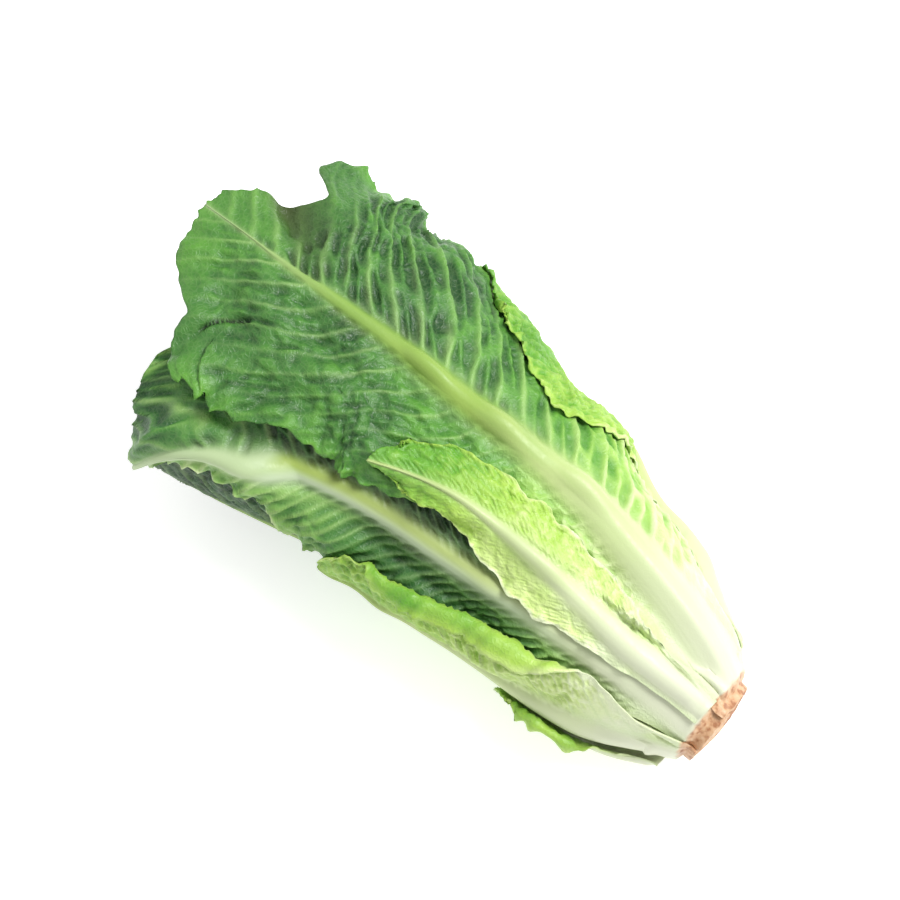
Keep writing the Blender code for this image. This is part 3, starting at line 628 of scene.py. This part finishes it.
        count, length, pocket_depth = pick("pockets")
        pocket = self.cells[0].at(number * count, away / length + 40 * side, (0.3, 1.0))
        pocket = pocket * np.clip(0.8 + 0.6 * patchy(flat / 9, across / 9), 0.2, 1.3)
        size, lump_height = pick("lumps")
        bend = 0.35 * quick(flat / 6, across / 6)
        lumps = self.cells[1].at(flat / size + bend, across / size - bend) - 0.5
        blister = bumpy(flat / 4.2, across / 4.2) + 0.45 * bumpy(flat / 1.9 + 31, across / 1.9)
        swell = slow(flat / 24 + 3, across / 19) + 0.5 * slow(flat / 11, across / 9)
        swell = swell * between(away - self.rib_half, 0, 10)
        ruffle = np.sin(math.tau * (flat / 13 + 0.9 * quick(flat / 19, side)))

        on_blade = between(away - self.rib_half, -0.5 * self.rib_half, 0.8 + 0.5 * self.rib_half)
        rooted = between(v, *leaf["smooth"])
        tip = 1 - self.per_side([between(v, *shares) for shares in leaf["calm"]]) * 0.85
        height = pick("vein") * veins * (0.4 + 0.6 * tip) - pocket_depth * pocket * tip
        height = height + lump_height * lumps * between(edge, 0.25, 0.6) * (0.3 + 0.7 * tip)
        height = height + pick("blister") * blister * (0.5 + 0.5 * tip)
        height = height * (1 - 0.75 * self.rolled)
        # Painted shade: the relief's hollows are coloured a deeper green, and its raised veins and ridges
        # get a little painted light
        self.relief_shading = pick("dent") * np.clip(-height / 1.6, -0.3, 1) * on_blade * rooted
        height = height + pick("swell") * swell + pick("ruffle") * edge**6 * ruffle
        grooves = 0.07 * patchy(across / 1.6, flat / 70) * (1 - on_blade)
        ridge = curve(v, leaf["ridge"]) * (1 - np.clip(away / (1.3 * self.rib_half), 0, 1) ** 2) ** 1.3

        near = np.exp(-(((away - self.rib_half) / (2.0 + 0.5 * self.rib_half)) ** 2)) * on_blade
        veins = veins * pale * on_blade * (0.4 + 0.6 * tip) * (1 - 0.8 * self.rolled)
        self.veins, self.rib = np.maximum(veins, 0.5 * near * (1 - 0.6 * v)), 1 - on_blade
        flank, node = np.clip(across / self.rib_half, -1, 1), between(v, 0.81, 0.84)
        # Painted shade turns the minus flank of the midrib olive yellow, and painted light pales its plus
        # flank; the midrib's node is paled too
        self.yellow, self.lit_flank_and_node = (
            amount * between(sign * flank, -0.4, 0.6) * between(v, 0.2, 0.4) * (1 - node)
            for amount, sign in zip(leaf["flanks"], (-1, 1))
        )
        self.lit_flank_and_node = self.lit_flank_and_node + 0.7 * leaf["flanks"][1] * node
        return on_blade * rooted * height + grooves + ridge

    def sculpt(self):
        """Adds the relief, then lifts whatever would sink into the leaves below or the surface."""
        height = self.relief() - (self.groove() if "slit" in self.leaf else 0)
        normal, self.flipped = normals(self.outer)
        outer = self.outer + normal * height[..., None]
        skin = np.minimum(BLADE, self.thick) - (BLADE - THIN_BLADE) * between(self.edge, 0.5, 1)
        _, angle, _ = polar(outer)
        out = np.stack([0 * angle, np.cos(angle), np.sin(angle)], axis=-1)
        inner = outer - normal * skin[..., None] - out * np.clip(self.thick - BLADE, 0, None)[..., None]
        place, angle, radius = polar(inner)
        cover = self.cover
        close, touch = (cover.under(place, angle, grid) for grid in (cover.close, cover.touch))
        hug = (self.pick("hug") > 0.9) * between(self.edge, 0.2, 0.85)
        floor = close + hug * (touch - close) + LEAST_AIR
        lift = out * eased(np.clip(floor - radius, 0, None))[..., None]
        self.outer, self.inner = outer + lift, inner + lift
        for face in (self.outer, self.inner):
            keep_off_surface(face)
            if self.cut:
                self.cut_level(face)

    def groove(self):
        """The depth of a slit in the blade, which is a narrow groove."""
        start, end, width, depth = self.leaf["slit"]
        along, off = beside_line(self.place, self.across, start, end)
        off = off + 1.2 * np.sin(5 * along)
        ends = between(along, -0.1, 0.1) * (1 - between(along, 0.9, 1.1))
        self.slit = np.exp(-((off / width) ** 4)) * ends
        return depth * self.slit

    def cut_level(self, face):
        """Moves the root onto the plane of the cut, and the rows next to it a little less."""
        x, y, z = (face[:, :1, k] for k in range(3))
        level = -y * math.tan(CUT_TILT) + bulge(np.hypot(y, z))
        level = level + 0.35 * self.noise[1].at(self.across[:, :1] / 2.2, 0.5)
        fade = 1 - between(self.along, self.root, 30)
        face[..., 0] += (level - x) * fade


def bulge(radius):
    """How far the cut stands out towards its middle."""
    return CUT_BULGE * (1 - np.clip(radius / CUT_RADIUS, 0, 1) ** 2)


def polar_point(along, angle, radius):
    """The place in the head's own frame, in millimetres."""
    return np.stack([-along, radius * np.cos(angle), radius * np.sin(angle)], axis=-1)


def polar(points):
    """Distance from the cut, angle and distance from the axis."""
    x, y, z = (points[..., k] for k in range(3))
    return -x, np.arctan2(z, y), np.hypot(y, z)


def normals(points):
    """Outward unit normals of a grid of points, and whether its rows and columns turn the other way."""
    normal = np.cross(np.gradient(points, axis=0), np.gradient(points, axis=1))
    normal /= np.maximum(np.linalg.norm(normal, axis=-1, keepdims=True), 1e-9)
    middle = points.shape[0] // 2, points.shape[1] // 2
    flipped = normal[middle] @ (points[middle] * (0, 1, 1)) < 0
    return (-normal if flipped else normal), flipped


def upright(points):
    """From the head's frame, in millimetres, to metres with the axis tilted as the head lies."""
    x, y, z = (points[..., k] for k in range(3))
    level = x * math.cos(HEAD_TILT) + z * math.sin(HEAD_TILT)
    height = -x * math.sin(HEAD_TILT) + z * math.cos(HEAD_TILT)
    return np.stack([level, y, height], axis=-1) * MM


def stem_ring(along, radius, sides):
    """Points round the stem, whose own axis is square to the cut."""
    turn = np.arange(sides) * math.tau / sides
    x = -along * math.cos(CUT_TILT) - radius * np.sin(turn) * math.sin(CUT_TILT)
    y = -along * math.sin(CUT_TILT) + radius * np.sin(turn) * math.cos(CUT_TILT)
    return np.stack([x, y, radius * np.cos(turn)], axis=-1)


def head_place():
    """Where the head's frame sits in the model, from the stem's solid."""
    rings = [stem_ring(a, r, STEM_SIDES) for a, r in STEM_PROFILE if a >= 0]
    rings.append(stem_ring(STEM_PROFILE[-1][0] + STEM_POINT, 0, STEM_SIDES))
    points = upright(np.concatenate(rings))
    low, high = (np.array(corner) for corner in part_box("stem_core"))
    return 0.5 * (low + high) - 0.5 * (points.min(0) + points.max(0))


HEAD_PLACE = head_place()


def to_world(points):
    """From the head's frame in millimetres to the model's in metres."""
    return upright(points) + HEAD_PLACE


def keep_off_surface(face):
    """Lifts a face to just above the surface that the head lies on."""
    height = to_world(face)[..., 2] / MM
    face[..., 2] += np.clip(SURFACE_AIR - height, 0, None) / math.cos(HEAD_TILT)


def border(numbers):
    """The numbers round the border of a grid, once round."""
    return np.concatenate([numbers[:-1, 0], numbers[-1, :-1], numbers[:0:-1, -1], numbers[0, :0:-1]])


def grid_quads(numbers):
    corners = (numbers[:-1, :-1], numbers[1:, :-1], numbers[1:, 1:], numbers[:-1, 1:])
    return np.stack(corners, axis=-1).reshape(-1, 4)


def add_object(name, data):
    made = bpy.data.objects.new(name, data)
    bpy.context.scene.collection.objects.link(made)
    return made


def mesh_object(name, points, quads, triangles, materials, in_second):
    """A smooth shaded mesh of numbered points; the faces named in in_second have the second material."""
    mesh = bpy.data.meshes.new(name)
    faces = quads.tolist() + triangles.tolist()
    mesh.from_pydata(points.tolist(), [], faces)
    mesh.validate()
    mesh.shade_smooth()
    for material in materials:
        mesh.materials.append(material)
    slots = np.zeros(len(faces), np.int32)
    slots[in_second] = 1
    mesh.polygons.foreach_set("material_index", slots)
    return add_object(name, mesh)


# What the leaves' materials read from the mesh
FIELDS = ("tint", "veins", "rib", "relief_shading", "shade", "edge", "slit", "tone", "sliced", "yellow", "lit_flank_and_node")


def leaf_object(name, blade, materials):
    """A closed mesh of a blade: fine outer face, coarser inner face, and the rim that joins them."""
    outer, inner = blade.outer, blade.inner[::2, ::2]
    first = outer[..., 0].size
    fine = np.arange(first).reshape(outer.shape[:2])
    coarse = first + np.arange(inner[..., 0].size).reshape(inner.shape[:2])
    a, b, c = border(fine)[::2], border(fine)[1::2], np.roll(border(fine)[::2], -1)
    p, q = border(coarse), np.roll(border(coarse), -1)
    rim = np.stack([b, a, p, b, p, q, c, b, q], axis=-1).reshape(-1, 3)
    quads = np.concatenate([grid_quads(fine), grid_quads(coarse)[:, ::-1]])
    if blade.flipped:
        quads, rim = quads[:, ::-1], rim[:, ::-1]

    at_root = np.isin(rim, [*fine[:, 0], *coarse[:, 0]]).all(axis=1) & blade.cut
    points = np.concatenate([to_world(outer).reshape(-1, 3), to_world(inner).reshape(-1, 3)])
    made = mesh_object(name, points, quads, rim, materials, len(quads) + np.flatnonzero(at_root))
    for field in FIELDS:
        grid = getattr(blade, field)
        values = np.concatenate([grid.ravel(), grid[::2, ::2].ravel()]).astype(np.float32)
        made.data.attributes.new(field, "FLOAT", "POINT").data.foreach_set("value", values)
    add_bake_map(made.data, quads, rim, (fine, coarse))
    return made


def add_bake_map(mesh, quads, rim, grids):
    """Outer face on the left of the map, inner face on the right, and a strip for the rim."""
    places = []
    for numbers, span in zip(grids, ((0.01, 0.62), (0.66, 0.99))):
        rows, columns = numbers.shape
        across = np.meshgrid(np.linspace(*span, rows), np.linspace(0.01, 0.99, columns), indexing="ij")
        places.append(np.stack(across, axis=-1).reshape(-1, 2))
    places = np.concatenate(places)
    share = (np.arange(len(rim))[:, None] + [0, 0.4, 0.8]) / len(rim)
    strip = np.stack([np.where(rim < grids[0].size, 0.632, 0.648), 0.01 + 0.98 * share], axis=-1)
    where = np.concatenate([places[quads.ravel()], strip.reshape(-1, 2)])
    mesh.uv_layers.new(name="OFBake").data.foreach_set("uv", where.astype(np.float32).ravel())


def stem_object(materials):
    """The stem, turned round its own axis and cut square, with the cut face a little uneven."""
    face = [(0.0, r) for r in np.linspace(1.2, 15.2, 13)]
    side = [(a, float(curve(np.array(a), STEM_PROFILE))) for a in np.linspace(0.4, STEM_PROFILE[-1][0], 30)]
    uneven, rings = Noise(91), []
    for along, radius in face + side:
        ring = stem_ring(along, radius, FINE_STEM_SIDES)
        if along < 5:
            rough = 0.35 * (1 + uneven.at(ring[:, 1:2] / 3, ring[:, 2:3] / 3))
            ring = ring + [1, 0, 0] * (bulge(radius) * (1 - along / 5) - rough)
        rings.append(ring)
    ends = stem_ring(0.3 - bulge(0), 0, 1), stem_ring(STEM_PROFILE[-1][0] + STEM_POINT, 0, 1)
    points = np.concatenate([ends[0], *rings, ends[1]])
    here = 1 + np.arange(len(rings) * FINE_STEM_SIDES).reshape(len(rings), FINE_STEM_SIDES)
    after = np.roll(here, -1, axis=1)
    quads = np.stack([here[:-1], after[:-1], after[1:], here[1:]], axis=-1).reshape(-1, 4)
    fans = np.concatenate([
        np.stack([0 * here[0], after[0], here[0]], axis=-1),
        np.stack([0 * here[0] + len(points) - 1, here[-1], after[-1]], axis=-1),
    ])
    cut = [*range(len(face) * FINE_STEM_SIDES), *range(len(quads), len(quads) + FINE_STEM_SIDES)]
    return mesh_object("stem_flesh", to_world(points), quads, fans, materials, cut)


class Graph:
    """A material's node tree, built by short calls. A value may be a number, a colour or a socket."""

    def __init__(self, name):
        self.material = bpy.data.materials.new(name)
        self.material.use_nodes = True
        self.tree = self.material.node_tree

    def put(self, socket, value):
        if isinstance(value, bpy.types.NodeSocket):
            self.tree.links.new(value, socket)
        else:
            socket.default_value = value

    def shade(self, name, value):
        self.put(self.tree.nodes["Principled BSDF"].inputs[name], value)

    def node(self, kind, inputs, output=0, **settings):
        made = self.tree.nodes.new("ShaderNode" + kind)
        for key, value in settings.items():
            setattr(made, key, value)
        for key, value in inputs.items():
            self.put(made.inputs[key], value)
        return made.outputs[output]

    def field(self, name):
        return self.node("Attribute", {}, "Fac", attribute_name=name)

    def math(self, operation, first, second, clamp=False):
        return self.node("Math", {0: first, 1: second}, operation=operation, use_clamp=clamp)

    def noise(self, scale, detail=3.0, stretch=(1, 1, 1)):
        place = self.node("TexCoord", {}, "Object")
        if stretch != (1, 1, 1):
            place = self.node("Mapping", {"Vector": place, "Scale": stretch})
        return self.node("TexNoise", {"Vector": place, "Scale": scale, "Detail": detail}, "Fac")

    def stretch(self, value, low, high, to_low=0.0, to_high=1.0):
        inputs = {"Value": value, "From Min": low, "From Max": high, "To Min": to_low, "To Max": to_high}
        return self.node("MapRange", inputs, interpolation_type="SMOOTHSTEP")

    def mix(self, factor, first, second):
        return self.node("Mix", {0: factor, 6: first, 7: second}, 2, data_type="RGBA")

    def ramp(self, factor, stops):
        colour = self.node("ValToRGB", {"Fac": factor}, "Color")
        elements = colour.node.color_ramp.elements
        while len(elements) < len(stops):
            elements.new(0.5)
        for element, (place, shade) in zip(elements, stops):
            element.position = place
            element.color = (*shade, 1)
        return colour

    def bump(self, height, distance, strength, **under):
        inputs = {"Height": height, "Distance": distance, "Strength": strength}
        return self.node("Bump", inputs | under, "Normal")


# Leaf colours from cream (0) to deep green (1), by family
RAMPS = {
    "light": ((0, (0.67, 0.73, 0.48)), (0.12, (0.6, 0.74, 0.28)), (0.3, (0.36, 0.57, 0.08)),
              (0.55, (0.12, 0.35, 0.025)), (0.8, (0.045, 0.18, 0.015)), (1, (0.018, 0.09, 0.012))),
    "green": ((0, (0.67, 0.73, 0.5)), (0.12, (0.6, 0.72, 0.32)), (0.3, (0.3, 0.53, 0.09)),
              (0.55, (0.105, 0.31, 0.035)), (0.8, (0.048, 0.17, 0.028)), (1, (0.012, 0.065, 0.012))),
    "dark": ((0, (0.67, 0.73, 0.5)), (0.15, (0.52, 0.66, 0.3)), (0.35, (0.2, 0.4, 0.08)),
             (0.6, (0.06, 0.2, 0.035)), (0.85, (0.022, 0.095, 0.022)), (1, (0.008, 0.038, 0.01))),
}
# Midrib colours by distance from the cut, as a share of RIB_LENGTH
RIB_COLOURS = ((0, (0.66, 0.68, 0.52)), (0.08, (0.63, 0.67, 0.48)), (0.25, (0.52, 0.61, 0.31)),
               (0.38, (0.46, 0.56, 0.23)), (0.52, (0.28, 0.42, 0.08)), (0.75, (0.23, 0.38, 0.07)),
               (0.9, (0.32, 0.46, 0.18)), (1, (0.34, 0.46, 0.22)))
# Colours of the cut and of the stem by their mottling
CUT_COLOURS = ((0.3, (0.7, 0.5, 0.32)), (0.5, (0.6, 0.36, 0.2)), (0.62, (0.38, 0.17, 0.08)))
STEM_COLOURS = ((0.3, (0.84, 0.8, 0.6)), (0.7, (0.76, 0.7, 0.44)))
PALE_VEIN = (0.42, 0.58, 0.24, 1)
# Midrib flanks: olive painted shade on one, pale painted light on the other, which also pales the node
SHADED_FLANK_COLOUR, LIT_FLANK_AND_NODE_COLOUR = (0.26, 0.34, 0.04, 1), (0.52, 0.62, 0.42, 1)
VALLEY_SHADE, SLIT_SHADE, SPECK = (0.05, 0.075, 0.018, 1), (0.004, 0.012, 0.004, 1), (0.1, 0.05, 0.02, 1)


def leaf_material(name, family):
    """A leaf's skin, coloured and roughened by the fields on its mesh."""
    graph = Graph(name)
    mottle = graph.stretch(graph.noise(45, 4), 0.3, 0.7, -0.06, 0.06)
    inputs = {"Vector": graph.node("TexCoord", {}, "Object"), "Scale": 520}
    net = graph.node("TexVoronoi", inputs, "Distance", feature="DISTANCE_TO_EDGE")
    net = graph.stretch(net, 0.02, 0.2, 1.0, 0.0)
    tint = graph.math("ADD", graph.field("tint"), mottle)
    # painted shade in the relief's hollows, and painted light on its ridges
    tint = graph.math("ADD", tint, graph.field("relief_shading"))
    tint = graph.math("SUBTRACT", tint, graph.stretch(graph.field("edge"), 0.88, 1.0, 0.0, 0.16))
    blade = graph.ramp(tint, RAMPS[family])
    pale_blade = graph.mix(0.55, blade, PALE_VEIN)
    blade = graph.mix(graph.math("MULTIPLY", net, 0.10), blade, pale_blade)

    streaks = graph.stretch(graph.noise(160, 3, (0.12, 1, 1)), 0.35, 0.75, 0.0, 0.22)
    rib = graph.mix(streaks, graph.ramp(graph.field("tone"), RIB_COLOURS), blade)
    # painted shade on one flank of the midrib, painted light on the other and a paler node
    rib = graph.mix(graph.field("yellow"), rib, SHADED_FLANK_COLOUR)
    rib = graph.mix(graph.field("lit_flank_and_node"), rib, LIT_FLANK_AND_NODE_COLOUR)
    colour = graph.mix(graph.field("rib"), graph.mix(graph.field("veins"), blade, PALE_VEIN), rib)
    valley = graph.math("MULTIPLY", graph.field("shade"), 0.9, clamp=True)
    colour = graph.mix(valley, colour, VALLEY_SHADE)
    colour = graph.mix(graph.math("MULTIPLY", graph.field("slit"), 0.95), colour, SLIT_SHADE)
    specks = graph.stretch(graph.noise(900, 1), 0.80, 0.84)
    rare = graph.stretch(graph.noise(38, 1), 0.66, 0.72)
    colour = graph.mix(graph.math("MULTIPLY", specks, rare), colour, SPECK)
    colour = graph.mix(graph.field("sliced"), colour, graph.ramp(graph.noise(300, 5), CUT_COLOURS))
    graph.shade("Base Color", colour)
    graph.shade("Roughness", graph.stretch(graph.noise(420, 3), 0.3, 0.7, 0.36, 0.52))
    graph.shade("Specular IOR Level", 0.4)

    smooth = graph.stretch(graph.field("rib"), 0.0, 1.0, 1.0, 0.12)
    crinkle = graph.bump(graph.math("MULTIPLY", graph.noise(650, 4), smooth), 0.0006, 0.35)
    graph.shade("Normal", graph.bump(graph.math("MULTIPLY", net, smooth), 0.0004, 0.3, Normal=crinkle))
    return graph.material


def stem_material(name, pattern, colours, roughness, rough_skin):
    """A mottled material for the stem's side or its cut."""
    graph = Graph(name)
    graph.shade("Base Color", graph.ramp(graph.noise(*pattern), colours))
    graph.shade("Roughness", roughness)
    if rough_skin:
        graph.shade("Normal", graph.bump(graph.noise(500, 5), 0.0012, 0.6))
    return graph.material


def build_head():
    cut = stem_material("cut_face", (140, 4), CUT_COLOURS, 0.7, True)
    stem = stem_object([stem_material("stem_side", (60, 3), STEM_COLOURS, 0.5, False), cut])
    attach(stem, "root")
    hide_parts("stem_core")
    cover = Cover()
    for number, leaf in enumerate(LEAVES):
        name = leaf["name"]
        blade = Blade(leaf, cover, number + 1)
        patch = 0.07 * blade.noise[0].at(blade.along / 40, blade.across / 30)
        tints = (leaf["tint"], leaf.get("tint_plus", leaf["tint"]))
        tint = blade.per_side([curve(blade.place, knots) for knots in tints]) + leaf["band"] * blade.rolled
        blade.tint = np.clip(tint + patch * between(blade.place, 40, 120), 0, 1)
        made = leaf_object(name + "_blade", blade, [leaf_material(name + "_skin", leaf["ramp"]), cut])
        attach(made, "root")
        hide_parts(name)
        cover.lay(*polar(blade.outer))


# Each light's name, place, size and power
LIGHTS = (("key", (0.45, 0.75, 1.3), 0.7, 25), ("fill", (-1.1, -0.5, 1.0), 1.4, 4))
# The camera's direction from the head and distance, and the point that it looks at
AZIMUTH, ELEVATION, DISTANCE = math.radians(44.5), math.radians(70), 1.0125
TARGET = Vector((-0.0066, 0.0108, 0.064))


def add_stage():
    """A white floor, soft lights, and a camera that looks down on the head from beside its foot."""
    mesh = bpy.data.meshes.new("floor")
    mesh.from_pydata([(-4, -4, 0), (4, -4, 0), (4, 4, 0), (-4, 4, 0)], [], [(0, 1, 2, 3)])
    graph = Graph("floor_white")
    graph.shade("Base Color", (0.92, 0.92, 0.92, 1))
    graph.shade("Roughness", 0.9)
    graph.shade("Emission Color", (1, 1, 1, 1))
    graph.shade("Emission Strength", 0.5)
    mesh.materials.append(graph.material)
    add_object("floor", mesh)

    world = bpy.data.worlds.new("studio")
    world.use_nodes = True
    background = world.node_tree.nodes["Background"]
    background.inputs["Color"].default_value = (1, 1, 1, 1)
    background.inputs["Strength"].default_value = 0.6
    bpy.context.scene.world = world

    for name, place, size, power in LIGHTS:
        light = bpy.data.lights.new(name, "AREA")
        light.size = size
        light.energy = power
        lamp = add_object(name, light)
        lamp.location = place
        lamp.rotation_euler = (-Vector(place)).to_track_quat("-Z", "Y").to_euler()

    camera = bpy.data.cameras.new("camera")
    camera.lens = 100
    camera.clip_end = 20
    view = add_object("camera", camera)
    level = math.cos(ELEVATION)
    back = Vector((math.sin(AZIMUTH) * level, -math.cos(AZIMUTH) * level, math.sin(ELEVATION)))
    view.location = TARGET + DISTANCE * back
    view.rotation_euler = back.to_track_quat("Z", "Y").to_euler()
    bpy.context.scene.camera = view


build_head()
add_stage()
bpy.context.view_layer.update()
bpy.context.scene.view_settings.view_transform = "Standard"
